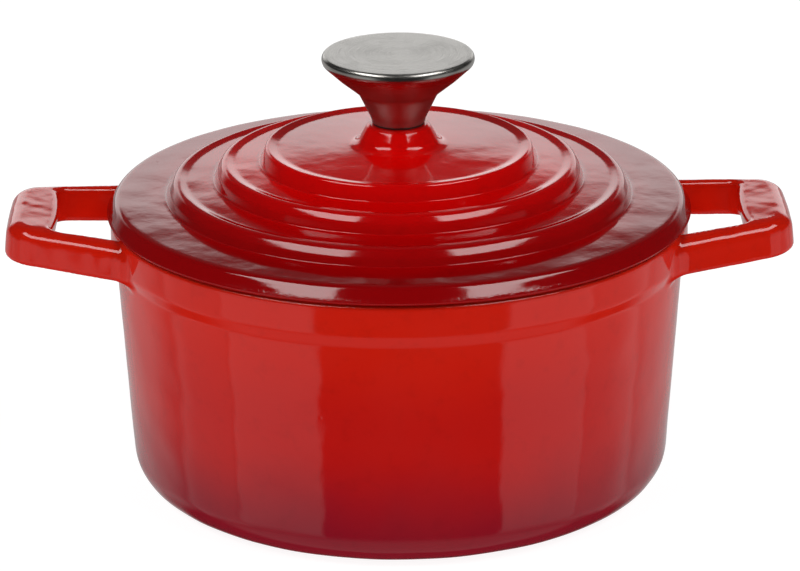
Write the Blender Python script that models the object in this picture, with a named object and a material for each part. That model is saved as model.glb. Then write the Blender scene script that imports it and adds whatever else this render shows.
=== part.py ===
"""Round enamelled cast iron dutch oven: pot with integral loop handles, stepped lid, screwed-on steel knob.

Metres, +Z up. The origin is the centre of the pot's foot; the handles lie along X.
"""
import math

import bmesh
import bpy
from mathutils import Vector

MM = 0.001

# ---------------------------------------------------------------- driving dimensions, in millimetres
POT_HEIGHT = 99.9            # foot to rim
POT_RIM_R = 103.4            # outside of the rim collar
POT_WALL_TOP_R = 101.7       # outside of the wall just under the collar
POT_BASE_R = 95.9            # outside of the wall, run down to the foot's plane
POT_CORNER_R = 16.0          # outside radius between wall and foot
COLLAR_BOTTOM = 84.2         # height at which the collar starts to step out
COLLAR_STEP_TOP = 88.6
FOOT_RING_IN_R = 66.0        # the foot is a flat ring round a shallow recess
FOOT_RECESS = 0.8
MOUTH_R = 98.0               # inside of the mouth
INSIDE_WALL_R = 97.3         # inside of the wall under the collar
INSIDE_BASE_R = 92.0         # inside of the wall, run down to the floor's plane
INSIDE_CORNER_R = 13.0
FLOOR_Z = 5.0                # thickness of the base

HANDLE_REACH = 140.0         # from the axis to the outer face of a handle
HANDLE_HOLE_REACH = 123.5    # from the axis to the far side of the hole
HANDLE_THICK = 13.0
HANDLE_Z = 92.6              # mid-height of the handle where it leaves the collar
HANDLE_PIVOT_X = 102.0
HANDLE_TILT = math.atan(0.088)
HANDLE_OUT_ROOT = 35.2       # half width over the side bars, 2 mm outside the collar
HANDLE_OUT_SLOPE = 0.30      # how fast that half width falls with distance
HANDLE_IN_ROOT = 27.8        # half width of the hole at the same place
HANDLE_IN_SLOPE = 0.243
HANDLE_ROOT_X = 104.0
HANDLE_OUT_CORNER_R = 9.0
HANDLE_IN_CORNER_R = 4.0
HANDLE_EDGE_R = 3.2
ROOT_FILLET_R = 9.0
ROOT_WEB = 7.0               # how far the root spreads down the wall

LID_R = 104.6
LID_BRIM_TOP = 106.2
LID_BRIM_FLAT_R = 100.45     # the brim's flat top ends here, and its edge slants down from it
LID_EDGE_LOW = 101.2         # widest point of the slanted edge
LID_EDGE_Z = 100.2           # underside of the brim, 0.3 above the pot's rim
# Each ring is a raised bead: a trough inside it, its top, a shoulder and its foot.
# Radius and height of each, outer ring first.
RING_TROUGH = ((71.5, 112.1), (56.6, 118.1), (40.7, 123.0))
RING_TOP = ((79.0, 113.7), (62.3, 119.3), (46.8, 124.3))
RING_SHOULDER = ((82.1, 109.5), (64.7, 116.0), (48.3, 122.4))
RING_FOOT = ((83.4, 106.3), (66.0, 112.2), (49.6, 118.5))
RING_TOP_R = 3.0
RING_SHOULDER_R = 4.0
RING_FOOT_R = 2.6
BOSS_TOP_Z = 132.2
BOSS = (                     # radius, height, rounding
    (10.2, BOSS_TOP_Z, 0.8),
    (12.8, 130.2, 2.5),
    (14.3, 127.2, 4.0),
    (15.4, 124.5, 1.5),
)
LID_WALL = 4.2               # thickness under each terrace
LID_CENTRE_LOW = 119.4       # underside in the middle
LIP_OUT_R = 96.4
LIP_IN_R = 92.6
LIP_Z = 96.2
SCREW_HOLE_R = 3.0

GAP = 0.3                    # between faces that touch
GASKET_GAP = 0.12            # thinner there, so that only a dark line shows
GASKET_R = 9.3
GASKET_T = 0.46
KNOB_FOOT_R = 9.9
KNOB_CREASE = (15.0, 143.4)  # where the neck meets the underside of the disc
KNOB_RIM_R = 27.2
KNOB_TOP_Z = 158.0
KNOB_BORE_R = 2.75
KNOB_BORE_DEPTH = 16.5

WASHER_R = 7.5
WASHER_T = 1.2
LOCK_R = 4.7
LOCK_T = 1.3
WASHER_HOLE_R = 2.8
HEAD_R = 4.9
HEAD_H = 3.4
SHANK_R = 2.4
SHANK_IN_KNOB = 14.0

ROUND = 64                   # sides of the castings
ROUND_SMALL = 40


# ---------------------------------------------------------------- helpers
def clear_scene():
    for obj in list(bpy.data.objects):
        bpy.data.objects.remove(obj, do_unlink=True)


def material(name, colour, roughness, metallic):
    mat = bpy.data.materials.new(name)
    mat.use_nodes = True
    shader = mat.node_tree.nodes["Principled BSDF"]
    shader.inputs["Base Color"].default_value = (*colour, 1.0)
    shader.inputs["Roughness"].default_value = roughness
    shader.inputs["Metallic"].default_value = metallic
    mat.diffuse_color = (*colour, 1.0)
    return mat


def rounded(corners, steps=3):
    """A path of (r, z, radius) corners with each corner replaced by an arc of its radius."""
    path = []
    last = len(corners) - 1
    for i, (r, z, rad) in enumerate(corners):
        here = Vector((r, z))
        if rad <= 0.0 or i in (0, last):
            path.append(here)
            continue
        back = (Vector(corners[i - 1][:2]) - here).normalized()
        ahead = (Vector(corners[i + 1][:2]) - here).normalized()
        half = back.angle(ahead) / 2.0
        reach = rad / math.tan(half)
        centre = here + (back + ahead).normalized() * (rad / math.sin(half))
        start = here + back * reach - centre
        turn = start.angle_signed(here + ahead * reach - centre)
        for k in range(steps + 1):
            a = -turn * k / steps
            path.append(centre + Vector((start.x * math.cos(a) - start.y * math.sin(a),
                                         start.x * math.sin(a) + start.y * math.cos(a))))
    return path


def finish(name, bm, mat, sharp=35.0):
    bmesh.ops.recalc_face_normals(bm, faces=bm.faces)
    mesh = bpy.data.meshes.new(name)
    bm.to_mesh(mesh)
    bm.free()
    mesh.shade_smooth()
    mesh.set_sharp_from_angle(angle=math.radians(sharp))
    if mat is not None:
        mesh.materials.append(mat)
    obj = bpy.data.objects.new(name, mesh)
    bpy.context.scene.collection.objects.link(obj)
    return obj


def turned(name, profile, mat, steps=ROUND, z_origin=0.0, angle=math.tau):
    """A closed (r, z) profile turned about Z. Points on the axis close the solid there."""
    bm = bmesh.new()
    verts = [bm.verts.new((p[0] * MM, 0.0, (p[1] - z_origin) * MM)) for p in profile]
    whole = angle > math.tau - 1e-6
    if whole:
        on_axis = profile[0][0] < 1e-6 and profile[-1][0] < 1e-6
        pairs = list(zip(verts, verts[1:]))
        if not on_axis:
            pairs.append((verts[-1], verts[0]))
        geom = verts + [bm.edges.new(p) for p in pairs]
    else:
        face = bm.faces.new(verts)
        geom = verts + list(face.edges) + [face]
    bmesh.ops.spin(bm, geom=geom, cent=(0, 0, 0), axis=(0, 0, 1), dvec=(0, 0, 0), angle=angle,
                   steps=steps, use_merge=whole, use_duplicate=False)
    bmesh.ops.remove_doubles(bm, verts=bm.verts, dist=1e-6)
    obj = finish(name, bm, mat)
    obj.location = (0.0, 0.0, z_origin * MM)
    return obj


def cutter(obj):
    obj.hide_render = True
    obj.display_type = 'WIRE'
    return obj


def boolean(obj, other, operation):
    mod = obj.modifiers.new(operation.lower() + "_" + other.name, 'BOOLEAN')
    mod.operation = operation
    mod.solver = 'EXACT'
    mod.object = other


# ---------------------------------------------------------------- pot
def pot_outside():
    corners = [
        (0.0, FOOT_RECESS, 0.0),
        (FOOT_RING_IN_R - 2.0, FOOT_RECESS, 0.0),
        (FOOT_RING_IN_R, 0.0, 0.0),
        (POT_BASE_R, 0.0, POT_CORNER_R),
        (POT_WALL_TOP_R, COLLAR_BOTTOM, 4.0),
        (POT_RIM_R, COLLAR_STEP_TOP, 4.0),
        (POT_RIM_R, POT_HEIGHT, 1.3),
        (0.0, POT_HEIGHT, 0.0),
    ]
    return rounded(corners)


def pot_cavity():
    above = POT_HEIGHT + 12.0
    corners = [
        (0.0, FLOOR_Z, 0.0),
        (INSIDE_BASE_R, FLOOR_Z, INSIDE_CORNER_R),
        (INSIDE_WALL_R, COLLAR_BOTTOM, 0.0),
        (MOUTH_R, POT_HEIGHT - 1.4, 0.0),
        (MOUTH_R + 1.6, POT_HEIGHT + 0.2, 0.0),
        (MOUTH_R + 1.6, above, 0.0),
        (0.0, above, 0.0),
    ]
    return rounded(corners)


def arc(centre, radius, a0, a1, steps):
    return [Vector((centre.x + radius * math.cos(a0 + (a1 - a0) * k / steps),
                    centre.y + radius * math.sin(a0 + (a1 - a0) * k / steps))) for k in range(steps + 1)]


def root_arc(half_width, slope, side, fillet, steps):
    """The fillet in plan between a side bar's straight face and the collar, from the collar outwards."""
    along = Vector((1.0, -slope)).normalized()
    normal = Vector((-along.y, along.x)) * side
    base = Vector((HANDLE_ROOT_X, half_width)) + normal * fillet
    reach = POT_RIM_R - 0.3 + fillet
    b = base.dot(along)
    t = -b - math.sqrt(b * b - base.length_squared + reach * reach)
    t = max(t, -b + math.sqrt(b * b - base.length_squared + reach * reach))
    centre = base + along * t
    to_wall = -centre.normalized()
    to_bar = -normal
    a0 = math.atan2(to_wall.y, to_wall.x)
    a1 = math.atan2(to_bar.y, to_bar.x)
    turn = (a1 - a0 + math.pi) % math.tau - math.pi
    return arc(centre, fillet, a0, a0 + turn, steps)


def end_corner(half_width, slope, end_x, radius, steps):
    """The rounded corner where a side bar's face turns into the end bar's face."""
    y_end = half_width - slope * (end_x - HANDLE_ROOT_X)
    back = Vector((-1.0, slope)).normalized()
    here = Vector((end_x, y_end))
    across = Vector((0.0, -1.0))
    half = back.angle(across) / 2.0
    centre = here + (back + across).normalized() * (radius / math.sin(half))
    a0 = math.atan2(*(here + back * (radius / math.tan(half)) - centre).yx)
    return arc(centre, radius, a0, 0.0, steps)


def handle_outline():
    outer = [Vector((88.0, 38.0))]
    outer += root_arc(HANDLE_OUT_ROOT, HANDLE_OUT_SLOPE, 1.0, ROOT_FILLET_R, 4)
    outer += end_corner(HANDLE_OUT_ROOT, HANDLE_OUT_SLOPE, HANDLE_REACH, HANDLE_OUT_CORNER_R, 5)
    inner = [Vector((88.0, 22.0))]
    inner += root_arc(HANDLE_IN_ROOT, HANDLE_IN_SLOPE, -1.0, 5.0, 3)
    inner += end_corner(HANDLE_IN_ROOT, HANDLE_IN_SLOPE, HANDLE_HOLE_REACH, HANDLE_IN_CORNER_R, 3)
    mirrored = [Vector((p.x, -p.y)) for p in reversed(outer)]
    inner_mirrored = [Vector((p.x, -p.y)) for p in inner]
    return outer + mirrored + inner_mirrored + list(reversed(inner))


def handle(name, turn):
    """A flat loop with rounded edges, open towards the pot, whose root spreads down the wall."""
    bm = bmesh.new()
    half = HANDLE_THICK / 2.0
    verts = [bm.verts.new(((p.x - HANDLE_PIVOT_X) * MM, p.y * MM, -half * MM)) for p in handle_outline()]
    face = bm.faces.new(verts)
    top = bmesh.ops.extrude_face_region(bm, geom=[face])
    raised = [v for v in top["geom"] if isinstance(v, bmesh.types.BMVert)]
    bmesh.ops.translate(bm, verts=raised, vec=(0.0, 0.0, HANDLE_THICK * MM))
    bmesh.ops.recalc_face_normals(bm, faces=bm.faces)
    rims = [e for e in bm.edges if abs(e.verts[0].co.z - e.verts[1].co.z) < 1e-9]
    bmesh.ops.bevel(bm, geom=rims, offset=HANDLE_EDGE_R * MM, segments=3, profile=0.5, affect='EDGES')
    for v in bm.verts:
        out = math.hypot(v.co.x + HANDLE_PIVOT_X * MM, v.co.y) / MM - POT_RIM_R
        near = max(0.0, 1.0 - max(out, 0.0) / 10.0)
        if v.co.z < -1e-6:
            v.co.z -= ROOT_WEB * MM * near ** 2.2 * min(1.0, -v.co.z / (half * MM))
    bmesh.ops.triangulate(bm, faces=[f for f in bm.faces if len(f.verts) > 4])
    obj = cutter(finish(name, bm, None))
    reach = Vector((HANDLE_PIVOT_X * MM, 0.0, HANDLE_Z * MM))
    obj.rotation_euler = (0.0, -HANDLE_TILT, turn)
    obj.location = (reach.x * math.cos(turn), reach.x * math.sin(turn), reach.z)
    return obj


# ---------------------------------------------------------------- lid
def lid_profile():
    top = [(SCREW_HOLE_R, BOSS_TOP_Z, 0.0)] + list(BOSS)
    for i in (2, 1, 0):
        top.append((*RING_TROUGH[i], 0.0))
        top.append((*RING_TOP[i], RING_TOP_R))
        top.append((*RING_SHOULDER[i], RING_SHOULDER_R))
        top.append((*RING_FOOT[i], RING_FOOT_R))
    top += [
        (LID_BRIM_FLAT_R, LID_BRIM_TOP, 3.3),
        (LID_R, LID_EDGE_LOW, 0.0),
        (LID_R - 0.9, LID_EDGE_Z, 0.0),
    ]
    under = [
        (LIP_OUT_R, LID_EDGE_Z, 0.0),
        (LIP_OUT_R - 0.4, LIP_Z, 0.8),
        (LIP_IN_R + 0.8, LIP_Z, 0.0),
        (LIP_IN_R - 1.0, LID_BRIM_TOP - LID_WALL - 0.8, 0.0),
    ]
    heights = [LID_BRIM_TOP - LID_WALL - 0.8, RING_FOOT[1][1] - LID_WALL,
               RING_FOOT[2][1] - LID_WALL, LID_CENTRE_LOW]
    for i in range(3):
        low, high = heights[i], heights[i + 1]
        under.append((RING_FOOT[i][0] - 2.4, low, 0.0))
        under.append((RING_FOOT[i][0] - 4.6, high, 0.0))
    under.append((SCREW_HOLE_R, heights[3], 0.0))
    return rounded(top, 2) + rounded(under, 2), heights[3]


# ---------------------------------------------------------------- knob and its fastening
def knob_profile(foot_z):
    crease_r, crease_z = KNOB_CREASE
    neck = [(KNOB_FOOT_R, foot_z + 0.6)]
    steps = 7
    for k in range(1, steps + 1):
        t = k / steps
        neck.append((KNOB_FOOT_R + (crease_r - KNOB_FOOT_R) * t ** 1.9,
                     foot_z + 0.6 + (crease_z - foot_z - 0.6) * t))
    rim_z = KNOB_TOP_Z - 1.9
    disc = [(crease_r + (KNOB_RIM_R - crease_r) * k / 3.0,
             crease_z + (rim_z - crease_z) * (k / 3.0) ** 1.12) for k in range(1, 4)]
    edge = [(KNOB_RIM_R - 0.25, KNOB_TOP_Z - 0.8), (KNOB_RIM_R - 1.1, KNOB_TOP_Z)]
    bore = [(KNOB_BORE_R, foot_z), (KNOB_FOOT_R - 0.6, foot_z)]
    tip = [(0.0, KNOB_TOP_Z), (0.0, foot_z + KNOB_BORE_DEPTH + 1.2), (KNOB_BORE_R, foot_z + KNOB_BORE_DEPTH)]
    outline = tip[1:] + bore + neck + disc + edge + tip[:1]
    return [Vector(p) for p in outline]


def ring(inner, outer, low, high, edge):
    return [Vector(p) for p in ((inner, low), (outer - edge, low), (outer, low + edge),
                                (outer, high - edge), (outer - edge, high), (inner, high))]


def screw_profile(under_head, tip_z):
    low = under_head - HEAD_H
    dome = [(HEAD_R * math.sin(a), low + 1.6 * (1.0 - math.cos(a)))
            for a in (math.radians(90.0 * k / 5.0) for k in range(6))]
    shank = [(HEAD_R, under_head), (SHANK_R, under_head), (SHANK_R, tip_z - 1.0), (SHANK_R - 0.8, tip_z), (0.0, tip_z)]
    return [Vector(p) for p in dome + shank]


def cross_recess(name, low):
    """A tapered cross, the recess for a cross-head driver."""
    bm = bmesh.new()
    rings = []
    for z, scale in ((low - 0.6, 1.1), (low + 2.2, 0.55)):
        arm, half = 2.6 * scale, 0.55 * (0.5 + 0.5 * scale)
        quarter = [(arm, -half), (arm, half), (half, half)]
        points = []
        for k in range(4):
            c, s = round(math.cos(k * math.pi / 2)), round(math.sin(k * math.pi / 2))
            points += [(x * c - y * s, x * s + y * c) for x, y in quarter]
        rings.append([bm.verts.new((x * MM, y * MM, z * MM)) for x, y in points])
    n = len(rings[0])
    for i in range(n):
        j = (i + 1) % n
        bm.faces.new((rings[0][i], rings[0][j], rings[1][j], rings[1][i]))
    bm.faces.new(list(reversed(rings[0])))
    bm.faces.new(rings[1])
    return cutter(finish(name, bm, None))


def main():
    clear_scene()
    enamel = material("enamel_red", (0.42, 0.012, 0.010), 0.12, 0.0)
    enamel_lid = material("enamel_red_lid", (0.36, 0.006, 0.006), 0.12, 0.0)
    steel = material("brushed_steel", (0.62, 0.60, 0.58), 0.32, 1.0)
    rubber = material("gasket_black", (0.03, 0.03, 0.03), 0.7, 0.0)
    zinc = material("zinc_steel", (0.55, 0.55, 0.56), 0.35, 1.0)

    pot = turned("pot", pot_outside(), enamel)
    boolean(pot, handle("handle_right_form", 0.0), 'UNION')
    boolean(pot, handle("handle_left_form", math.pi), 'UNION')
    boolean(pot, cutter(turned("cavity_form", pot_cavity(), None)), 'DIFFERENCE')

    # the lid turns about Z on the rim, and the knob set carries it up and down on the same axis
    profile, under = lid_profile()
    lift = bpy.data.objects.new("lift_axis", None)
    lift.location = (0.0, 0.0, POT_HEIGHT * MM)
    bpy.context.scene.collection.objects.link(lift)
    lid = turned("lid", profile, enamel_lid)

    gasket_low = BOSS_TOP_Z + GASKET_GAP
    gasket = turned("knob_gasket", ring(2.9, GASKET_R, gasket_low, gasket_low + GASKET_T, 0.15), rubber, ROUND_SMALL)
    foot_z = gasket_low + GASKET_T + GASKET_GAP
    knob = turned("knob", knob_profile(foot_z), steel, ROUND_SMALL + 8)

    washer_top = under - GAP
    washer = turned("flat_washer", ring(WASHER_HOLE_R, WASHER_R, washer_top - WASHER_T, washer_top, 0.2), zinc,
                    ROUND_SMALL)
    lock_top = washer_top - WASHER_T - GAP
    section = [Vector(p) for p in ((WASHER_HOLE_R, lock_top - LOCK_T), (LOCK_R, lock_top - LOCK_T),
                                   (LOCK_R, lock_top), (WASHER_HOLE_R, lock_top))]
    lock = turned("lock_washer", section, zinc, 32, angle=math.radians(348.0))
    head_top = lock_top - LOCK_T - GAP
    screw = turned("knob_screw", screw_profile(head_top, foot_z + SHANK_IN_KNOB), zinc, 32)
    boolean(screw, cross_recess("driver_recess_form", head_top - HEAD_H), 'DIFFERENCE')

    for piece in (lid, gasket, knob, washer, lock, screw):
        piece.parent = lift
        piece.location.z -= POT_HEIGHT * MM


main()
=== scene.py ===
"""Looks of the enamelled cast iron dutch oven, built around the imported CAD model.

Lengths in the modelling code are millimetres unless a name says otherwise; meshes are scaled to metres.
"""
import itertools
import math

import bpy
import numpy as np
from mathutils import Matrix, Vector


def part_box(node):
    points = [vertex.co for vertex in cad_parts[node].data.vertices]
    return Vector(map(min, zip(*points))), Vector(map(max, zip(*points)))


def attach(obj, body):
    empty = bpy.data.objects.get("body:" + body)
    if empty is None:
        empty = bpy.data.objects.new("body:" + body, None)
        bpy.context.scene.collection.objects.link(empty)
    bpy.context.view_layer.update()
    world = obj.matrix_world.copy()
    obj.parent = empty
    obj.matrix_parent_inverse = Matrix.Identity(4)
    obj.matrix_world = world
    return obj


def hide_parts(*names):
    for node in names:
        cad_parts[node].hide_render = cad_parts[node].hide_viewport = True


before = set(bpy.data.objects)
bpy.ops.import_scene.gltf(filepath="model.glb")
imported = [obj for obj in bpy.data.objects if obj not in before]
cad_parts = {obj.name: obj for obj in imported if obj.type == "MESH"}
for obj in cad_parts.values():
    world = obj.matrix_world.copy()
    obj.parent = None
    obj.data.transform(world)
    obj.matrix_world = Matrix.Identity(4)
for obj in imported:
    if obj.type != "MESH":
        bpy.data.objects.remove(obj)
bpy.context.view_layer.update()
MM = 0.001


def box_mm(node):
    low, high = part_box(node)
    return np.array(low) / MM, np.array(high) / MM


# ------------------------------------------------------------------ sizes read from the CAD frame
_, POT_HIGH = box_mm("pot")
_, LID_HIGH = box_mm("lid")
KNOB_LOW, KNOB_HIGH = box_mm("knob")
GASKET_LOW, GASKET_HIGH = box_mm("knob_gasket")
WASHER_LOW, WASHER_HIGH = box_mm("flat_washer")
LOCK_LOW, LOCK_HIGH = box_mm("lock_washer")
SCREW_LOW, SCREW_HIGH = box_mm("knob_screw")

LID_R = float(LID_HIGH[0])
BOSS_TOP = float(LID_HIGH[2])
KNOB_FOOT = float(KNOB_LOW[2])
KNOB_TOP = float(KNOB_HIGH[2])
KNOB_R = float(KNOB_HIGH[0])

# ------------------------------------------------------------------ other sizes of the object
RIM_Z = 99.9                # top of the pot
RIM_R = 103.4               # outside of the collar
WALL_TOP_R = 101.7          # outside of the wall just under the collar
BASE_R = 95.9               # outside of the wall, run down to the foot's plane
BASE_CORNER = 13.6          # rounding between wall and foot
FOOT_RECESS = 0.8
FLOOR_Z = 5.0               # thickness of the base
COLLAR_LOW, COLLAR_HIGH = 84.4, 88.6
BRIM_TOP = 106.2
BRIM_LOW = 100.2
LID_WALL = 4.2              # thickness under each ring
LIP_Z = 96.2                # lower edge of the lip that centres the lid
SCREW_HOLE_R = 3.0


# ------------------------------------------------------------------ curves and meshes
def rounded(corners, spacing=0.35):
    """A path through (r, z, radius) corners, each turned by an arc of its radius."""
    path = []
    last = len(corners) - 1
    for i, (r, z, radius) in enumerate(corners):
        here = np.array((r, z), float)
        if radius <= 0.0 or i in (0, last):
            path.append(here)
            continue
        back = np.array(corners[i - 1][:2]) - here
        ahead = np.array(corners[i + 1][:2]) - here
        back /= np.linalg.norm(back)
        ahead /= np.linalg.norm(ahead)
        half = math.acos(float(np.clip(back @ ahead, -1, 1))) / 2
        centre = here + (back + ahead) / np.linalg.norm(back + ahead) * (radius / math.sin(half))
        start = here + back * (radius / math.tan(half)) - centre
        end = here + ahead * (radius / math.tan(half)) - centre
        a0 = math.atan2(start[1], start[0])
        turn = (math.atan2(end[1], end[0]) - a0 + math.pi) % math.tau - math.pi
        steps = max(3, int(abs(turn) * radius / spacing))
        for k in range(steps + 1):
            a = a0 + turn * k / steps
            path.append(centre + radius * np.array((math.cos(a), math.sin(a))))
    return np.array(path)


def resampled(path, longest):
    """The same path with no step longer than longest."""
    out = [path[0]]
    for a, b in zip(path, path[1:]):
        n = max(1, int(math.ceil(np.linalg.norm(b - a) / longest)))
        out += [a + (b - a) * k / n for k in range(1, n + 1)]
    return np.array(out)


def smoothstep(low, high, x):
    t = np.clip((x - low) / (high - low), 0.0, 1.0)
    return t * t * (3.0 - 2.0 * t)


class Waves:
    """A smooth random field: a sum of plane waves, with its gradient."""

    def __init__(self, seed, count, shortest, longest):
        rng = np.random.default_rng(seed)
        direction = rng.normal(size=(count, 3))
        direction /= np.linalg.norm(direction, axis=1)[:, None]
        length = np.exp(rng.uniform(math.log(shortest), math.log(longest), count))
        self.k = direction * (math.tau / length)[:, None]
        self.phase = rng.uniform(0, math.tau, count)
        self.scale = math.sqrt(2.0 / count)

    def value(self, p):
        return np.sin(p @ self.k.T + self.phase).sum(1) * self.scale

    def gradient(self, p):
        return (np.cos(p @ self.k.T + self.phase) @ self.k) * self.scale


def mesh_object(name, verts_mm, faces, body, materials, normals=None, face_material=None):
    mesh = bpy.data.meshes.new(name)
    mesh.from_pydata((np.asarray(verts_mm) * MM).tolist(), [], [tuple(int(i) for i in f) for f in faces])
    for material in materials:
        mesh.materials.append(material)
    if face_material is not None:
        mesh.polygons.foreach_set("material_index", np.asarray(face_material, np.int32))
    mesh.polygons.foreach_set("use_smooth", np.ones(len(mesh.polygons), bool))
    mesh.update()
    if normals is not None:
        mesh.normals_split_custom_set_from_vertices(np.asarray(normals).tolist())
    obj = bpy.data.objects.new(name, mesh)
    bpy.context.scene.collection.objects.link(obj)
    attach(obj, body)
    return obj


ON_AXIS = 1e-6              # a smaller radius counts as a point on the axis


def lathe(profile, sides, closed):
    """Vertices and faces of a (r, z) profile turned about Z. Points on the axis become one vertex each."""
    verts, rows, first = [], [], 0
    angles = np.arange(sides) * (math.tau / sides)
    ca, sa = np.cos(angles), np.sin(angles)
    for r, z in profile:
        if r < ON_AXIS:
            rows.append([first] * sides)
            verts.append(np.array([[0.0, 0.0, z]]))
        else:
            rows.append(list(range(first, first + sides)))
            verts.append(np.stack([r * ca, r * sa, np.full(sides, z)], 1))
        first += len(verts[-1])
    faces = []
    order = list(range(len(rows))) + ([0] if closed else [])
    for i, j in zip(order, order[1:]):
        a, b = rows[i], rows[j]
        for k in range(sides):
            m = (k + 1) % sides
            quad = [a[k], a[m], b[m], b[k]]
            face = [v for n, v in enumerate(quad) if v not in quad[:n]]
            if len(face) > 2:
                faces.append(face)
    return np.concatenate(verts), faces


MOST_FACES_SUMMED = 20000


def outward(verts, faces):
    """Faces turned round if the solid they close is inside out."""
    volume = 0.0
    for f in faces[::max(1, len(faces) // MOST_FACES_SUMMED)]:
        a, b, c = verts[f[0]], verts[f[1]], verts[f[2]]
        volume += float(np.dot(a, np.cross(b, c)))
    return [f[::-1] for f in faces] if volume < 0 else faces


# ------------------------------------------------------------------ materials
def rgb(r, g, b):
    """A colour given as 0 to 255 screen values, made linear."""
    lin = [c / 12.92 if c <= 0.04045 else ((c + 0.055) / 1.055) ** 2.4 for c in (r / 255, g / 255, b / 255)]
    return (*lin, 1.0)


class Nodes:
    """Small helper to wire a material's nodes."""

    def __init__(self, name):
        self.mat = bpy.data.materials.new(name)
        self.mat.use_nodes = True
        self.tree = self.mat.node_tree
        self.bsdf = self.tree.nodes["Principled BSDF"]
        self.coord = self.tree.nodes.new("ShaderNodeTexCoord")

    def new(self, kind, **settings):
        node = self.tree.nodes.new(kind)
        for key, value in settings.items():
            setattr(node, key, value)
        return node

    def link(self, a, b):
        self.tree.links.new(a, b)

    def put(self, socket, value):
        if hasattr(value, "is_linked"):
            self.link(value, socket)
        elif value is not None:
            socket.default_value = value

    def math(self, op, a, b=None):
        node = self.new("ShaderNodeMath", operation=op)
        self.put(node.inputs[0], a)
        self.put(node.inputs[1], b)
        return node.outputs[0]

    def ramp(self, value, low, high, out_low=0.0, out_high=1.0):
        """out_low where value is low or less, out_high where it is high or more, and smooth in between."""
        node = self.new("ShaderNodeMapRange", interpolation_type="SMOOTHSTEP")
        for socket, v in zip(node.inputs, (value, low, high, out_low, out_high)):
            self.put(socket, v)
        return node.outputs[0]

    def mix(self, factor, a, b):
        node = self.new("ShaderNodeMix", data_type="RGBA")
        self.put(node.inputs[0], factor)
        self.put(node.inputs[6], a)
        self.put(node.inputs[7], b)
        return node.outputs[2]

    def noise(self, vector, scale, detail=2.0, rough=0.5):
        node = self.new("ShaderNodeTexNoise")
        self.put(node.inputs["Vector"], vector)
        for key, v in (("Scale", scale), ("Detail", detail), ("Roughness", rough)):
            node.inputs[key].default_value = v
        return node.outputs["Fac"]

    def spots(self, vector, scale):
        """Distance to the nearest of many scattered points."""
        node = self.new("ShaderNodeTexVoronoi", feature="F1")
        self.put(node.inputs["Vector"], vector)
        node.inputs["Scale"].default_value = scale
        return node.outputs["Distance"]

    def bump(self, height, distance, strength=1.0, normal=None):
        node = self.new("ShaderNodeBump")
        node.inputs["Distance"].default_value = distance
        self.put(node.inputs["Strength"], strength)
        self.put(node.inputs["Height"], height)
        if normal is not None:
            self.link(normal, node.inputs["Normal"])
        return node.outputs["Normal"]

    def object_rz(self):
        """Radius from the object's axis, and height, both in metres."""
        sep = self.new("ShaderNodeSeparateXYZ")
        self.link(self.coord.outputs["Object"], sep.inputs[0])
        x2 = self.math("MULTIPLY", sep.outputs[0], sep.outputs[0])
        y2 = self.math("MULTIPLY", sep.outputs[1], sep.outputs[1])
        return self.math("SQRT", self.math("ADD", x2, y2)), sep.outputs[2]

    def done(self, colour=None, roughness=None, normal=None, **sockets):
        self.put(self.bsdf.inputs["Base Color"], colour)
        self.put(self.bsdf.inputs["Roughness"], roughness)
        if normal is not None:
            self.link(normal, self.bsdf.inputs["Normal"])
        for key, v in sockets.items():
            self.bsdf.inputs[key.replace("_", " ")].default_value = v
        return self.mat


def enamel(name, stops, along, edge_pits):
    """Glossy vitreous enamel.

    Its colour drifts through the stops along the height or the radius, in metres. It has a faint orange peel
    and pinholes, and the glaze is rougher and pitted where edge_pits says so.
    """
    n = Nodes(name)
    obj = n.coord.outputs["Object"]
    r, z = n.object_rz()
    drive = z if along == "z" else r
    cloud = n.noise(obj, 22.0, 2.0, 0.5)
    drive = n.math("ADD", drive, n.math("MULTIPLY", n.math("SUBTRACT", cloud, 0.5), 0.02))
    colour = stops[0][1]
    for (p0, _), (p1, c1) in zip(stops, stops[1:]):
        colour = n.mix(n.ramp(drive, p0, p1), colour, c1)
    mottling = n.noise(obj, 160.0, 3.0, 0.6)
    dark = n.new("ShaderNodeHueSaturation")
    dark.inputs["Value"].default_value = 0.86
    n.put(dark.inputs["Color"], colour)
    colour = n.mix(n.ramp(mottling, 0.5, 0.75, 0.0, 0.5), colour, dark.outputs[0])
    peel = n.noise(obj, 420.0, 2.0, 0.5)
    swell = n.noise(obj, 130.0, 1.0, 0.4)
    pin = n.ramp(n.spots(obj, 95.0), 0.0, 0.10, 1.0, 0.0)
    pin = n.math("MULTIPLY", pin, n.ramp(n.noise(obj, 60.0, 1.0), 0.62, 0.68))
    normal = n.bump(swell, 0.00022, 0.16)
    normal = n.bump(peel, 0.00010, 0.14, normal)
    normal = n.bump(n.math("SUBTRACT", 1.0, pin), 0.0001, 0.5, normal)
    edge = edge_pits(n, r, z)
    rough_pits = n.noise(obj, 520.0, 3.0, 0.65)
    normal = n.bump(rough_pits, 0.0004, n.math("MULTIPLY", edge, 0.45), normal)
    rough = n.ramp(n.noise(obj, 35.0, 3.0, 0.55), 0.35, 0.7, 0.055, 0.10)
    rough = n.math("ADD", rough, n.math("MULTIPLY", edge, 0.05))
    return n.done(colour, rough, normal, IOR=1.52, Specular_IOR_Level=0.5)


def pot_edges(n, r, z):
    """How pitted the pot's enamel is: at the rim and along the foot."""
    rim = n.math("MULTIPLY", n.ramp(z, 0.0975, 0.0992), n.ramp(r, 0.1050, 0.1040))
    foot = n.ramp(z, 0.004, 0.0005)
    return n.math("MAXIMUM", rim, foot)


def lid_edges(n, r, z):
    """How pitted the lid's enamel is: along the lower edge of the brim."""
    return n.math("MULTIPLY", n.ramp(r, 0.1026, 0.1040), n.ramp(z, 0.1030, 0.1016))


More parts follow.
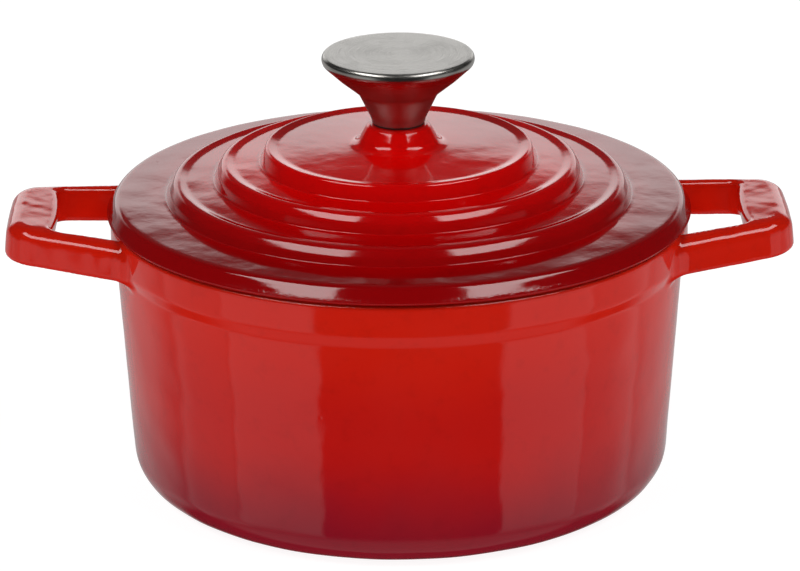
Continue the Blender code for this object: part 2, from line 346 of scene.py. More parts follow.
# The pot's reds darken and turn purple towards the foot. This is partly the enamel's own fade and partly
# painted shade, and the blue at the foot is a painted reflection.
POT_REDS_AND_FOOT_SHADE = [(0.004, rgb(138, 16, 34)), (0.050, rgb(196, 20, 14)), (0.090, rgb(214, 28, 8))]
LID_REDS = [(0.012, rgb(240, 4, 2)), (0.050, rgb(224, 2, 2)),
            (0.078, rgb(178, 1, 4)), (0.096, rgb(150, 0, 4))]
pot_red = enamel("enamel_red", POT_REDS_AND_FOOT_SHADE, "z", pot_edges)
lid_red = enamel("enamel_red_lid", LID_REDS, "r", lid_edges)


def cream_enamel():
    """The pale inside enamel, slightly clouded, with a few darker specks."""
    n = Nodes("enamel_cream")
    obj = n.coord.outputs["Object"]
    cloud = n.noise(obj, 30.0, 3.0, 0.5)
    colour = n.mix(n.ramp(cloud, 0.35, 0.7), rgb(232, 222, 198), rgb(222, 209, 180))
    speck = n.ramp(n.spots(obj, 420.0), 0.05, 0.12, 1.0, 0.0)
    speck = n.math("MULTIPLY", speck, n.ramp(n.noise(obj, 90.0), 0.55, 0.6))
    colour = n.mix(n.math("MULTIPLY", speck, 0.45), colour, rgb(150, 132, 104))
    normal = n.bump(n.noise(obj, 300.0, 2.0), 0.00012, 0.25)
    rough = n.ramp(n.noise(obj, 50.0, 3.0), 0.3, 0.7, 0.14, 0.24)
    return n.done(colour, rough, normal, IOR=1.5)


def bare_rim():
    """Thin matt ground coat, where the coloured enamel stops and the grain of the iron shows through."""
    n = Nodes("rim_black")
    obj = n.coord.outputs["Object"]
    grain = n.noise(obj, 900.0, 4.0, 0.6)
    colour = n.mix(n.ramp(grain, 0.3, 0.75), rgb(26, 20, 20), rgb(70, 62, 60))
    normal = n.bump(grain, 0.0004, 0.6)
    rough = n.ramp(n.noise(obj, 260.0, 2.0), 0.3, 0.7, 0.32, 0.6)
    return n.done(colour, rough, normal, IOR=1.5)


def steel(name, tint, base_rough, ring_scale, anisotropy):
    """Steel turned and brushed round Z: fine circular scratches in height, roughness and tone.

    It is rougher below the knob's disc.
    """
    n = Nodes(name)
    r, z = n.object_rz()
    rings = n.new("ShaderNodeCombineXYZ")
    n.link(n.math("MULTIPLY", r, ring_scale), rings.inputs[0])
    n.link(n.math("MULTIPLY", z, ring_scale), rings.inputs[1])
    wobble = n.new("ShaderNodeVectorMath", operation="ADD")
    slow = n.new("ShaderNodeVectorMath", operation="SCALE")
    n.link(n.coord.outputs["Object"], slow.inputs[0])
    slow.inputs["Scale"].default_value = 26.0
    n.link(rings.outputs[0], wobble.inputs[0])
    n.link(slow.outputs[0], wobble.inputs[1])
    scratch = n.noise(wobble.outputs[0], 1.0, 4.0, 0.7)
    fine = n.noise(wobble.outputs[0], 3.1, 3.0, 0.65)
    darker = tuple(c * 0.93 for c in tint[:3]) + (1.0,)
    colour = n.mix(n.ramp(scratch, 0.3, 0.7), darker, tint)
    smudge = n.noise(n.coord.outputs["Object"], 70.0, 3.0, 0.6)
    rough = n.ramp(fine, 0.3, 0.7, base_rough * 0.8, base_rough * 1.2)
    rough = n.math("ADD", rough, n.ramp(smudge, 0.4, 0.75, 0.0, 0.05))
    rough = n.math("ADD", rough, n.ramp(z, 0.1500, 0.1535, 0.16, 0.0))
    normal = n.bump(scratch, 0.00003, 0.3)
    tangent = n.new("ShaderNodeTangent", direction_type="RADIAL", axis="Z")
    n.link(tangent.outputs[0], n.bsdf.inputs["Tangent"])
    return n.done(colour, rough, normal, Metallic=1.0, Anisotropic=anisotropy)


def rubber():
    """Dull dark rubber of the gasket."""
    n = Nodes("gasket_black")
    obj = n.coord.outputs["Object"]
    grain = n.noise(obj, 1400.0, 3.0, 0.6)
    colour = n.mix(n.ramp(grain, 0.3, 0.7), rgb(46, 22, 21), rgb(70, 36, 34))
    return n.done(colour, n.ramp(grain, 0.3, 0.7, 0.55, 0.75), n.bump(grain, 0.0001, 0.4))


knob_steel = steel("knob_steel", rgb(173, 170, 165), 0.25, 4200.0, 0.12)
zinc = steel("hardware_steel", rgb(196, 196, 198), 0.30, 1800.0, 0.4)
cream = cream_enamel()
rim_black = bare_rim()
black_rubber = rubber()


# ------------------------------------------------------------------ pot: one casting with its loop handles
def inside_polygon(p, poly):
    """Whether each point is inside a closed outline, by the number of edges to one side of it."""
    x, y = p[:, 0], p[:, 1]
    inside = np.zeros(len(p), bool)
    for (x0, y0), (x1, y1) in zip(poly, np.roll(poly, -1, 0)):
        if y0 == y1:
            continue
        inside ^= ((y0 > y) != (y1 > y)) & (x < (x1 - x0) * (y - y0) / (y1 - y0) + x0)
    return inside


SAME_POINT = 1e-12          # a smaller squared distance counts as none


def polygon_distance(p, poly):
    """Signed distance of (r, z) points to a closed outline, negative inside."""
    best = np.full(len(p), np.inf)
    for a, b in zip(poly, np.roll(poly, -1, 0)):
        ab = b - a
        length2 = float(ab @ ab)
        if length2 < SAME_POINT:
            continue
        t = np.clip(((p - a) @ ab) / length2, 0, 1)
        d = p - a - t[:, None] * ab
        best = np.minimum(best, (d * d).sum(1))
    best = np.sqrt(best)
    return np.where(inside_polygon(p, poly), -best, best)


class Table:
    """A signed distance in (r, z), tabulated once and read back between the grid's points."""

    def __init__(self, poly, step=0.25, width=152, height=124):
        self.step, self.r0, self.z0 = step, -1.0, -6.0
        nr, nz = int(width / step), int(height / step)
        gr, gz = np.meshgrid(self.r0 + step * np.arange(nr), self.z0 + step * np.arange(nz), indexing="ij")
        self.data = polygon_distance(np.stack([gr.ravel(), gz.ravel()], 1), poly).reshape(nr, nz)

    def __call__(self, r, z):
        u, v = (r - self.r0) / self.step, (z - self.z0) / self.step
        i = np.clip(u.astype(int), 0, self.data.shape[0] - 2)
        j = np.clip(v.astype(int), 0, self.data.shape[1] - 2)
        fu, fv = u - i, v - j
        d = self.data
        low = d[i, j] * (1 - fu) + d[i + 1, j] * fu
        high = d[i, j + 1] * (1 - fu) + d[i + 1, j + 1] * fu
        return low * (1 - fv) + high * fv


PAST_AXIS = -60             # both outlines run on past the axis, where nothing is read
ABOVE = 117.0               # the cavity's outline runs on above the rim, so that it cuts the mouth open
BEYOND_RIM = 112.0
outer_path = rounded([(PAST_AXIS, FOOT_RECESS, 0), (63.5, FOOT_RECESS, 0.6), (66.0, 0.0, 0.6),
                      (BASE_R, 0.0, BASE_CORNER), (WALL_TOP_R, COLLAR_LOW, 5.0), (RIM_R, COLLAR_HIGH, 5.0),
                      (RIM_R, RIM_Z, 1.9), (PAST_AXIS, RIM_Z, 0)])
cavity_path = rounded([(PAST_AXIS, FLOOR_Z, 0), (92.0, FLOOR_Z, 13.0), (97.3, 84.2, 8.0), (98.0, 98.0, 1.0),
                       (100.1, 100.3, 2.0), (BEYOND_RIM, 101.8, 0), (BEYOND_RIM, ABOVE, 0),
                       (PAST_AXIS, ABOVE, 0)])
OUTER, CAVITY = Table(outer_path), Table(cavity_path)

HANDLE_THICK = 13.0
HANDLE_RAISE = 0.27           # the top face stands twice this above half the thickness
HANDLE_EDGE = 5.6             # rounding of the outer edge above
HANDLE_EDGE_LOW = 1.8         # and below
HANDLE_HOLE_EDGE = 2.5        # and of the hole's edges
HANDLE_CORNER = 9.0           # corners of the loop, seen from above
HANDLE_HOLE_CORNER = 3.6
HANDLE_HOLE_REACH = 21.9      # from the pivot to the far side of the hole
HANDLE_HALF = 35.2            # half width over the side bars, 2 mm out from the pivot
HANDLE_TAPER = 0.30           # how fast that falls with the distance out
HANDLE_TAPER_COS = 0.958
HOLE_HALF = 27.8              # the same three for the hole
HOLE_TAPER = 0.243
HOLE_TAPER_COS = 0.972
HOLE_BOW = 1.3                # how far the hole's far side bows inwards in the middle
HOLE_BOW_HALF = 20.0          # and half the width of that bow
HANDLE_TILT = math.atan(0.088)
HANDLE_Z = 92.6
HANDLE_PIVOT = 102.0
REACH = float(POT_HIGH[0]) - 0.15


def round_max(a, b, r):
    """Where two solids meet in a convex edge, rounded to radius r."""
    return np.minimum(np.maximum(a, b), -r) + np.hypot(np.maximum(a + r, 0), np.maximum(b + r, 0))


def round_min(a, b, r):
    """The union of two solids with a fillet of radius r where they meet."""
    return np.maximum(np.minimum(a, b), r) - np.hypot(np.maximum(r - a, 0), np.maximum(r - b, 0))


def handle_distance(x, y, z):
    """Distance to the loop handles: u runs outwards along the tilted loop, v sideways and w up."""
    side = np.abs(x)
    u = (side - HANDLE_PIVOT) * math.cos(HANDLE_TILT) + (z - HANDLE_Z) * math.sin(HANDLE_TILT)
    w = -(side - HANDLE_PIVOT) * math.sin(HANDLE_TILT) + (z - HANDLE_Z) * math.cos(HANDLE_TILT)
    v = np.abs(y)
    reach = (REACH - HANDLE_PIVOT) / math.cos(HANDLE_TILT)
    side_bar = (v - (HANDLE_HALF - HANDLE_TAPER * (u - 2.0))) * HANDLE_TAPER_COS
    outer = round_max(side_bar, u - reach - 0.15 + 0.0009 * v * v, HANDLE_CORNER)
    bow = HOLE_BOW * (1.0 - np.minimum(v / HOLE_BOW_HALF, 1.0) ** 2) * smoothstep(-6.0, 5.0, w)
    hole_side = (v - (HOLE_HALF - HOLE_TAPER * (u - 2.0))) * HOLE_TAPER_COS
    hole = round_max(hole_side, u - (HANDLE_HOLE_REACH - bow), HANDLE_HOLE_CORNER)
    slab = np.abs(w - HANDLE_RAISE) - HANDLE_THICK / 2 - HANDLE_RAISE
    return np.maximum(round_max(outer, slab, np.where(w < 0.0, HANDLE_EDGE_LOW, HANDLE_EDGE)),
                      round_max(-hole, slab, HANDLE_HOLE_EDGE))


def pot_field(p):
    """Signed distance to the pot: body and handles, a fillet that widens downwards, less the cavity."""
    x, y, z = p[:, 0], p[:, 1], p[:, 2]
    r = np.hypot(x, y)
    body = OUTER(r, z)
    out = body.copy()
    near = (np.abs(x) > 80) & (z > 60)
    loop = handle_distance(x[near], y[near], z[near])
    fillet = 1.2 + 3.3 * (1.0 - smoothstep(92.5, 98.5, z[near]))
    out[near] = round_min(body[near], loop, fillet)
    return np.maximum(out, -CAVITY(r, z))


def field_gradient(field, p, h=0.12):
    gradient = np.empty_like(p)
    for axis in range(3):
        d = np.zeros(3)
        d[axis] = h
        gradient[:, axis] = (field(p + d) - field(p - d)) / (2 * h)
    return gradient


def graded(stops):
    """Grid lines from (start, step) stops; the last stop only ends the run."""
    lines = []
    for (a, step), (b, _) in zip(stops, stops[1:]):
        n = max(1, int(round((b - a) / step)))
        lines += [a + (b - a) * k / n for k in range(n)]
    return np.array(lines + [stops[-1][0]])


def pot_grid():
    """Angles, radii and heights of a cylindrical grid that is finest round the handles and the rim."""
    fine, coarse = math.radians(0.55), math.radians(2.0)
    zone = math.radians(31)
    angles = graded([(-zone, fine), (zone, coarse), (math.pi - zone, fine), (math.pi + zone, coarse),
                     (math.tau - zone, coarse)])[:-1]
    radii = graded([(0.0, 6.0), (60.0, 1.2), (70.0, 3.0), (76.0, 1.2), (94.0, 0.8), (105.0, 1.15),
                    (145.0, 1.0)])
    heights = graded([(-2.0, 0.9), (20.0, 4.0), (72.0, 1.2), (80.0, 0.8), (106.0, 1.0)])
    return angles, radii, heights


def cell_crossings(field):
    """For each grid cell, how many of its edges the surface crosses and where they do on average, 0 to 1.

    The first axis wraps round, the others don't.
    """
    nt, nr, nz = field.shape
    cells = (nt, nr - 1, nz - 1)
    wrapped = np.concatenate([field, field[:1]])
    total, count = np.zeros(cells + (3,)), np.zeros(cells)
    for axis, b, c in itertools.product(range(3), (0, 1), (0, 1)):
        near = [b, c]
        near.insert(axis, 0)
        far = list(near)
        far[axis] = 1
        f0, f1 = (wrapped[tuple(slice(s, n + s) for s, n in zip(corner, cells))] for corner in (near, far))
        hit = (f0 < 0) != (f1 < 0)
        along = np.where(hit, f0 / np.where(hit, f0 - f1, 1.0), 0.0)
        for k in range(3):
            total[..., k] += np.where(hit, along if k == axis else float(near[k]), 0.0)
        count += hit
    return count, total / np.maximum(count, 1)[..., None]


def crossing_faces(solid, index):
    """A quad across each grid edge whose ends lie on either side of the surface."""
    faces = []

    def add(a, b, c, d, flip):
        quad = np.stack([a, b, c, d], 1)
        quad[flip] = quad[flip][:, ::-1]
        faces.append(quad)

    i, j, k = np.nonzero(solid[:, 1:-1, 1:-1] != np.roll(solid, -1, 0)[:, 1:-1, 1:-1])
    j, k = j + 1, k + 1
    add(index[i, j - 1, k - 1], index[i, j, k - 1], index[i, j, k], index[i, j - 1, k], solid[i, j, k])
    i, j, k = np.nonzero(solid[:, :-1, 1:-1] != solid[:, 1:, 1:-1])
    k = k + 1
    add(index[i - 1, j, k - 1], index[i, j, k - 1], index[i, j, k], index[i - 1, j, k], ~solid[i, j, k])
    i, j, k = np.nonzero(solid[:, 1:-1, :-1] != solid[:, 1:-1, 1:])
    j = j + 1
    add(index[i - 1, j - 1, k], index[i, j - 1, k], index[i, j, k], index[i - 1, j, k], solid[i, j, k])
    return [tuple(quad) for quad in np.concatenate(faces)]


def between(lines, cell, share):
    return lines[cell] + (lines[cell + 1] - lines[cell]) * share


def drawn_onto(field, verts, rounds=4, longest=0.8):
    """Points moved along the field's gradient until they lie on its zero surface."""
    for _ in range(rounds):
        g = field_gradient(field, verts)
        step = field(verts) / np.maximum((g * g).sum(1), 0.05)
        verts = verts - g * np.clip(step, -longest, longest)[:, None]
    return verts


def pot_mesh():
    """The pot's surface: one vertex in each grid cell it crosses, drawn onto the exact surface."""
    angles, radii, heights = pot_grid()
    a, r, z = (grid.ravel() for grid in np.meshgrid(angles, radii, heights, indexing="ij"))
    field = pot_field(np.stack([r * np.cos(a), r * np.sin(a), z], 1))
    field = field.reshape(len(angles), len(radii), len(heights))
    count, share = cell_crossings(field)
    used = count > 0
    index = np.full(used.shape, -1)
    index[used] = np.arange(used.sum())
    cells = np.nonzero(used)
    full_turn = np.concatenate([angles, [angles[0] + math.tau]])
    a, r, z = (between(lines, cell, share[used][:, k])
               for k, (lines, cell) in enumerate(zip((full_turn, radii, heights), cells)))
    verts = np.stack([r * np.cos(a), r * np.sin(a), z], 1)
    faces = crossing_faces(field < 0, index)
    # the holes that are left round the axis, in the floor and in the foot, are closed by a fan each
    for level in np.nonzero(used[0, 0])[0]:
        ring = index[:, 0, level]
        centre = len(verts)
        middle = float(verts[ring, 2].mean())
        verts = np.concatenate([verts, [[0.0, 0.0, middle]]])
        facing_up = verts[ring[0], 2] > FLOOR_Z / 2
        for m, n in zip(ring, np.roll(ring, -1)):
            faces.append((centre, m, n) if facing_up else (centre, n, m))
    verts = drawn_onto(pot_field, verts)
    g = field_gradient(pot_field, verts, 0.2)
    return verts, faces, g / np.maximum(np.linalg.norm(g, axis=1), 1e-6)[:, None]


slow_waves = Waves(11, 40, 14.0, 46.0)
quick_waves = Waves(12, 60, 5.0, 12.0)


def cast_surface(verts, normals, amount, slow, quick):
    """The slight unevenness of a sand casting under its enamel, in the shape and in its normals.

    amount is 0 to 1 at each vertex, slow and quick are the heights of the long and the short waves.
    """
    height = slow_waves.value(verts) * slow + quick_waves.value(verts) * quick
    slope = slow_waves.gradient(verts) * slow + quick_waves.gradient(verts) * quick[:, None]
    slope -= (slope * normals).sum(1)[:, None] * normals
    bent = normals - slope * amount[:, None]
    bent /= np.linalg.norm(bent, axis=1)[:, None]
    return verts + normals * (height * amount)[:, None], bent


def face_places(verts, faces):
    """Radius and height of the middle of each face's first three corners."""
    mid = np.array([verts[list(f[:3])].mean(0) for f in faces])
    return np.hypot(mid[:, 0], mid[:, 1]), mid[:, 2]


def pot():
    """The pot in red enamel, cream inside, with a dark bare rim."""
    verts, faces, normals = pot_mesh()
    r, z = np.hypot(verts[:, 0], verts[:, 1]), verts[:, 2]
    seat = smoothstep(98.6, 99.6, z) * (r < RIM_R + 0.1)
    uneven = (1.0 - seat) * smoothstep(0.0, 1.5, z)
    on_handles = smoothstep(106.0, 112.0, r)
    verts, normals = cast_surface(verts, normals, uneven, 0.045, 0.006 + 0.010 * on_handles)
    r, z = face_places(verts, faces)
    inside = (CAVITY(r, z) < 0.6) & (OUTER(r, z) < -0.5)
    on_rim = (z > 98.9) & (r > 98.4) & (r < 101.8)
    piece = mesh_object("pot_casting", verts, faces, "pot", [pot_red, cream, rim_black], normals,
                        np.where(on_rim, 2, np.where(inside, 1, 0)))
    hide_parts("pot")


pot()

# ------------------------------------------------------------------ lid
# each ring is a raised bead: a trough inside it, its top, a shoulder and its foot; outer ring first
TROUGHS = ((75.8, 112.0), (58.8, 118.25), (43.2, 123.6))
TOPS = ((79.6, 113.0), (62.6, 119.2), (47.2, 124.6))
SHOULDERS = ((82.1, 109.5), (64.8, 116.0), (48.9, 120.6))
FEET = ((83.3, 106.7), (66.0, 112.4), (49.7, 118.7))
TOP_ROUND = (2.8, 2.4, 1.3)
FOOT_ROUND = (0.6, 0.6, 0.5)
TROUGH_ROUND, SHOULDER_ROUND = 5.0, 6.0
CENTRE_LOW = 119.4          # underside of the middle of the lid
LID_SIDES = 288


def lid_profile():
    """The lid's upper outline from the screw hole to the brim's lower edge, and the underside back again."""
    top = [(SCREW_HOLE_R, BOSS_TOP, 0), (10.4, BOSS_TOP, 0.9), (11.4, BOSS_TOP - 0.7, 1.5),
           (13.2, BOSS_TOP - 3.8, 9.0), (15.0, 124.75, 5.0)]
    for i in (2, 1, 0):
        top += [(*TROUGHS[i], TROUGH_ROUND), (*TOPS[i], TOP_ROUND[i]),
                (*SHOULDERS[i], SHOULDER_ROUND), (*FEET[i], FOOT_ROUND[i])]
    brim_end = (LID_R - 0.9, BRIM_LOW, 0)
    top += [(101.2, BRIM_TOP + 0.2, 2.6), (LID_R, 101.2, 0.4), brim_end]
    low = [BRIM_TOP - 5.0, FEET[1][1] - LID_WALL, FEET[2][1] - LID_WALL, CENTRE_LOW]
    under = [brim_end, (96.4, BRIM_LOW, 0.5), (96.0, LIP_Z, 0.9), (93.4, LIP_Z, 0.9), (91.6, low[0], 0.9)]
    for i in range(3):
        under += [(FEET[i][0] - 2.4, low[i], 2.2), (FEET[i][0] - 4.6, low[i + 1], 2.2)]
    under.append((SCREW_HOLE_R, low[3], 0))
    return resampled(rounded(top, 0.32), 1.1), resampled(rounded(under, 0.45), 2.0)


def turned_normals(path, verts, sides):
    """Normals of a closed path turned about Z, for a path whose first stretches face up."""
    step = np.gradient(np.concatenate([path[-1:], path, path[:1]]), axis=0)[1:-1]
    across = np.stack([step[:, 1], -step[:, 0]], 1)
    across /= np.linalg.norm(across, axis=1)[:, None]
    if across[10, 1] < 0:
        across = -across
    outwards, up = np.repeat(across, sides, 0).T
    r = np.hypot(verts[:, 0], verts[:, 1])
    return np.stack([outwards * verts[:, 0] / r, outwards * verts[:, 1] / r, up], 1)


def lid():
    """The lid in red enamel, cream below, with a dark bare edge under the brim."""
    top, under = lid_profile()
    path = np.concatenate([top, under[1:]])
    verts, faces = lathe(path, LID_SIDES, True)
    faces = outward(verts, faces)
    rows = np.repeat(np.arange(len(path)), LID_SIDES)
    on_top = rows < len(top) - 6
    uneven = np.where(on_top, 1.0, 0.0) * smoothstep(17.0, 24.0, np.hypot(verts[:, 0], verts[:, 1]))
    verts, _ = cast_surface(verts, turned_normals(path, verts, LID_SIDES), uneven, 0.020,
                            np.full(len(verts), 0.005))
    corner_rows = rows[np.array(faces)]
    first, last = corner_rows.min(1), corner_rows.max(1)
    in_hole = last - first > 1
    below = in_hole | (first >= len(top) - 1)
    r, z = face_places(verts, faces)
    bare = (below & (r > 96.2)) | ((z < BRIM_LOW + 0.2) & (r > 102.5))
    piece = mesh_object("lid_casting", verts, faces, "lid", [lid_red, cream, rim_black], None,
                        np.where(bare, 2, np.where(below & (r > SCREW_HOLE_R + 0.05), 1, 0)))
    piece.data.set_sharp_from_angle(angle=math.radians(50))
    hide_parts("lid")


lid()

# ------------------------------------------------------------------ knob, gasket, washers and screw
def knob_set_piece(name, node, verts, faces, sharp, material):
    """One piece that rides on knob_set; edges sharper than this angle in degrees are drawn sharp."""
    piece = mesh_object(name, verts, outward(verts, faces), "knob_set", [material])
    piece.data.set_sharp_from_angle(angle=math.radians(sharp))
    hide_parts(node)


def knob():
    """Flat top, rolled edge, neck in two flares and a foot with the screw's blind hole."""
    hole_r, hole_deep, hole_tip = 2.75, 16.3, 17.5
    path = rounded([(0, KNOB_TOP, 0), (KNOB_R - 1.0, KNOB_TOP, 0.25), (KNOB_R + 0.45, KNOB_TOP - 1.13, 2.3),
                    (KNOB_R - 0.4, KNOB_TOP - 3.4, 1.2), (21.2, 149.4, 14.0), (14.2, 143.7, 5.5),
                    (9.75, KNOB_FOOT + 1.6, 3.0), (9.45, KNOB_FOOT, 0.25), (hole_r, KNOB_FOOT, 0),
                    (hole_r, KNOB_FOOT + hole_deep, 0), (0, KNOB_FOOT + hole_tip, 0)], 0.25)
    verts, faces = lathe(resampled(path, 1.2), 192, False)
    knob_set_piece("knob_turned", "knob", verts, faces, 45, knob_steel)


knob()


def ring_piece(name, node, low, high, hole, edge, material):
    """A flat ring between the low and high corners of its node's box, with rounded outer edges."""
    outside = high[0]
    path = rounded([(hole, low[2], 0), (outside, low[2], edge), (outside, high[2], edge),
                    (hole, high[2], edge * 0.5), (hole, low[2], 0)], 0.1)[:-1]
    verts, faces = lathe(path, 128, True)
    knob_set_piece(name, node, verts, faces, 40, material)


ring_piece("gasket_ring", "knob_gasket", GASKET_LOW, GASKET_HIGH, 2.9, 0.15, black_rubber)
ring_piece("washer_flat", "flat_washer", WASHER_LOW, WASHER_HIGH, 2.8, 0.3, zinc)


def lock_washer():
    """A spring section swept almost all the way round, its cut ends slanted and a little apart in height."""
    low, high, outside = LOCK_LOW[2], LOCK_HIGH[2], LOCK_HIGH[0]
    mid, hole, edge = (low + high) / 2, 2.8, 0.15
    thinner = 0.76                  # the section's share of the height
    rise = 0.16                     # how far apart in height the two ends are
    section = rounded([(hole, low, 0), (outside, low, edge), (outside, high, edge), (hole, high, edge),
                       (hole, low, 0)], 0.08)[:-1]
    steps, gap, slant = 120, math.radians(12), math.radians(7)
    verts = []
    for k in range(steps + 1):
        share = k / steps
        for r, z in section:
            a = gap / 2 + (z - low) / (high - low) * slant - slant / 2 + (math.tau - gap) * share
            verts.append((r * math.cos(a), r * math.sin(a), mid + (z - mid) * thinner + rise * (share - 0.5)))
    m = len(section)
    faces = [(k * m + i, k * m + (i + 1) % m, (k + 1) * m + (i + 1) % m, (k + 1) * m + i)
             for k in range(steps) for i in range(m)]
    faces.append(tuple(range(m))[::-1])
    faces.append(tuple(range(steps * m, (steps + 1) * m)))
    knob_set_piece("washer_lock", "lock_washer", np.array(verts), faces, 40, zinc)


lock_washer()


def machine_screw():
    """Pan head with a cross recess below, and a rolled thread running up into the knob."""
    low, tip = float(SCREW_LOW[2]), float(SCREW_HIGH[2])
    head_r, head_top = float(SCREW_HIGH[0]), low + 3.4
    shank_r, tooth_deep, pitch = 2.4, 0.42, 0.8
    crown, recess_deep = 1.7, 2.1
    sides = 96
    angles = np.arange(sides) * (math.tau / sides)
    rows = []

    def add_row(r, z):
        rows.append(np.stack([r * np.cos(angles), r * np.sin(angles), np.full(sides, z)], 1))

    for r in np.linspace(0.18, head_r * 0.985, 46):
        add_row(r, low + crown * (1 - math.sqrt(1 - (r / (head_r * 1.02)) ** 2)))
        across = np.abs(rows[-1][:, :2])
        arm = 1.0 - smoothstep(0.42, 0.56, across.min(1))
        end = 1.0 - smoothstep(2.0, 2.7, across.max(1))
        core = 1.0 - smoothstep(0.9, 1.3, r)
        rows[-1][:, 2] += recess_deep * np.maximum(arm * end, core)
    for z in (low + 1.8, low + 2.6, head_top - 0.15):
        add_row(head_r, z)
    for r in (head_r - 0.15, shank_r + 0.02):
        add_row(r, head_top)
    thread_start = head_top + 0.8
    for z in np.arange(thread_start, tip - 0.3, 0.1):
        turn = (z / pitch - angles / math.tau) % 1.0
        tooth = np.clip(np.abs(turn - 0.5) * 2.0 * 1.25 - 0.1, 0.0, 1.0)
        fade = min(1.0, (z - thread_start) / pitch)
        taper = min(1.0, (tip - z) / 1.6)
        add_row(shank_r - tooth_deep * tooth * fade - 0.5 * (1.0 - taper), z)
    add_row(1.3, tip)
    verts = np.concatenate(rows)
    faces = [(low_row + k, low_row + (k + 1) % sides, low_row + sides + (k + 1) % sides, low_row + sides + k)
             for low_row in range(0, (len(rows) - 1) * sides, sides) for k in range(sides)]
    verts = np.concatenate([verts, [[0, 0, verts[:sides, 2].mean()], [0, 0, tip]]])
    a, b, top = len(verts) - 2, len(verts) - 1, (len(rows) - 1) * sides
    faces += [(a, (k + 1) % sides, k) for k in range(sides)]
    faces += [(b, top + k, top + (k + 1) % sides) for k in range(sides)]
    knob_set_piece("screw_pan_head", "knob_screw", verts, faces, 38, zinc)


machine_screw()


# ------------------------------------------------------------------ stage, light and camera
def grey(level):
    return (level, level, level, 1.0)


def floor():
    """A plain pale disc that glows like paper lit from all round, and is not seen in reflections."""
    n = Nodes("floor_white")
    place = n.coord.outputs["Object"]
    colour = n.mix(n.noise(place, 3.0, 2.0, 0.5), grey(0.22), grey(0.24))
    n.done(colour, 0.9, n.bump(n.noise(place, 40.0), 0.0002, 0.1), Emission_Color=grey(1.0),
           Emission_Strength=0.92)
    rings, radius = 24, 4000.0
    path = [(radius * (k / rings) ** 1.5, 0.0) for k in range(rings + 1)]
    verts, faces = lathe(path, 96, False)
    mesh = bpy.data.meshes.new("floor")
    mesh.from_pydata((verts * MM).tolist(), [], [tuple(f)[::-1] for f in faces])
    mesh.materials.append(n.mat)
    obj = bpy.data.objects.new("floor", mesh)
    obj.location = (0.0, 0.0, -0.0002)
    obj.visible_glossy = False
    bpy.context.scene.collection.objects.link(obj)


floor()


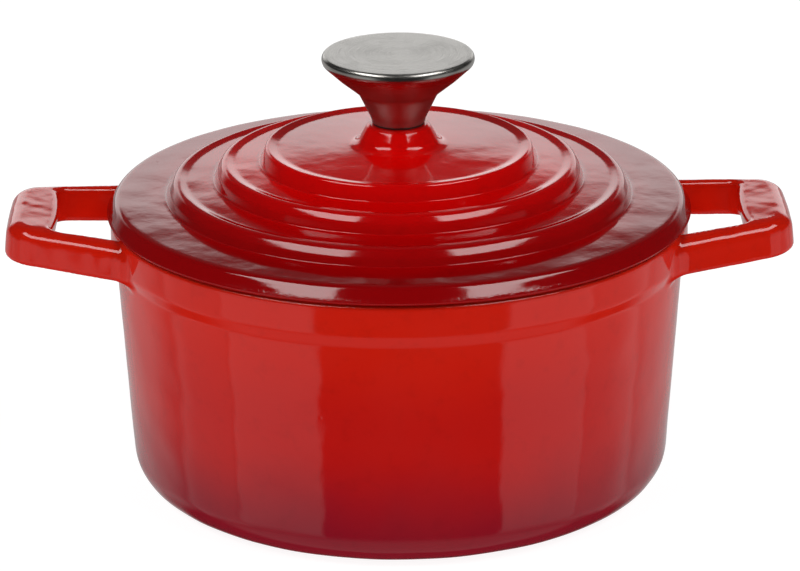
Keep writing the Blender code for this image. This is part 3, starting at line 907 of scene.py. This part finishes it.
def studio():
    """White for the eye, and for the light soft panels in a dark room.

    Behind the object is a low bright wall. To the left and right of the camera are two tall panels and,
    high up, two small bright ones. The sides, the rear and the room below the floor are dim, and behind
    the camera it is dark.
    """
    world = bpy.data.worlds.new("studio")
    bpy.context.scene.world = world
    world.use_nodes = True
    t = world.node_tree
    t.nodes.clear()

    def node(kind, *values, **settings):
        """A node whose first sockets are linked to, or set to, these values."""
        made = t.nodes.new(kind)
        for key, value in settings.items():
            setattr(made, key, value)
        for socket, value in zip(made.inputs, values):
            if hasattr(value, "is_linked"):
                t.links.new(value, socket)
            else:
                socket.default_value = value
        return made

    def calc(op, *values):
        return node("ShaderNodeMath", *values, operation=op).outputs[0]

    def step(value, a, b, low=0.0, high=1.0):
        return node("ShaderNodeMapRange", value, a, b, low, high, interpolation_type="SMOOTHSTEP").outputs[0]

    rad = math.radians
    x, y, z = node("ShaderNodeSeparateXYZ", node("ShaderNodeTexCoord").outputs["Generated"]).outputs
    elevation = calc("ARCSINE", z)
    turn = calc("ARCTAN2", x, calc("MULTIPLY", y, -1.0))
    azimuth = calc("ABSOLUTE", turn)
    shifted = calc("ABSOLUTE", calc("SUBTRACT", turn, rad(3.8)))

    def panel(about, a0, a1, e0, e1, power, soft, soft_e):
        """Light from azimuth a0 to a1 on both sides and elevation e0 to e1, in degrees, with soft edges."""
        inside = calc("MULTIPLY", step(about, rad(a0 - soft), rad(a0 + soft)),
                      step(about, rad(a1 + soft), rad(a1 - soft)))
        tall = calc("MULTIPLY", step(elevation, rad(e0 - soft_e), rad(e0 + soft_e)),
                    step(elevation, rad(e1 + soft_e), rad(e1 - soft_e)))
        return calc("MULTIPLY", calc("MULTIPLY", inside, tall), power)

    wall_top = step(elevation, rad(17.6), rad(21.4), 1.5, 0.04)
    low_wall = calc("MULTIPLY", step(elevation, rad(-1), rad(3)), wall_top)
    light = calc("MULTIPLY", step(azimuth, rad(138), rad(158)), low_wall)
    tall_panels = panel(shifted, 39, 79, -36, 8, 0.54, 1.4, 10.0)
    sides = panel(shifted, 79, 112, -40, 0, 0.34, 3.0, 4.0)
    rear = panel(azimuth, 112, 200, -36, 0, 0.46, 16.0, 6.0)
    below = panel(azimuth, -10, 100, -120, -42, 0.24, 12.0, 10.0)
    high_panels = panel(azimuth, 31, 84, 40, 57, 5.9, 1.2, 1.0)
    room = 0.03
    for more in (tall_panels, sides, rear, below, high_panels, room):
        light = calc("ADD", light, more)
    colour = node("ShaderNodeCombineColor", light, light, light).outputs[0]
    seen = node("ShaderNodeMix", node("ShaderNodeLightPath").outputs["Is Camera Ray"], data_type="RGBA")
    t.links.new(colour, seen.inputs[6])
    seen.inputs[7].default_value = grey(1.0)
    back = node("ShaderNodeBackground", seen.outputs[2])
    node("ShaderNodeOutputWorld", back.outputs[0])
    world.cycles.sampling_method = 'MANUAL'
    world.cycles.sample_map_resolution = 2048


studio()
bpy.context.scene.view_settings.view_transform = 'Standard'


def camera():
    """Long lens, a little above the rim, square on to the handles."""
    distance, target = 1.600, Vector((0.00015, 0.0, 0.07062))
    elevation, azimuth, roll = math.radians(19.63), math.radians(-0.75), math.radians(-0.38)
    level = math.cos(elevation)
    back = Vector((math.sin(azimuth) * level, -math.cos(azimuth) * level, math.sin(elevation)))
    right = Vector((math.cos(azimuth), math.sin(azimuth), 0.0))
    up = back.cross(right)
    r = right * math.cos(roll) + up * math.sin(roll)
    u = up * math.cos(roll) - right * math.sin(roll)
    cam = bpy.data.cameras.new("camera")
    cam.sensor_width = 36.0
    cam.lens = 199.6
    cam.clip_end = 20.0
    obj = bpy.data.objects.new("camera", cam)
    obj.matrix_world = Matrix((
        (r.x, u.x, back.x, target.x + back.x * distance),
        (r.y, u.y, back.y, target.y + back.y * distance),
        (r.z, u.z, back.z, target.z + back.z * distance),
        (0, 0, 0, 1)))
    bpy.context.scene.collection.objects.link(obj)
    bpy.context.scene.camera = obj


camera()

bpy.context.view_layer.update()
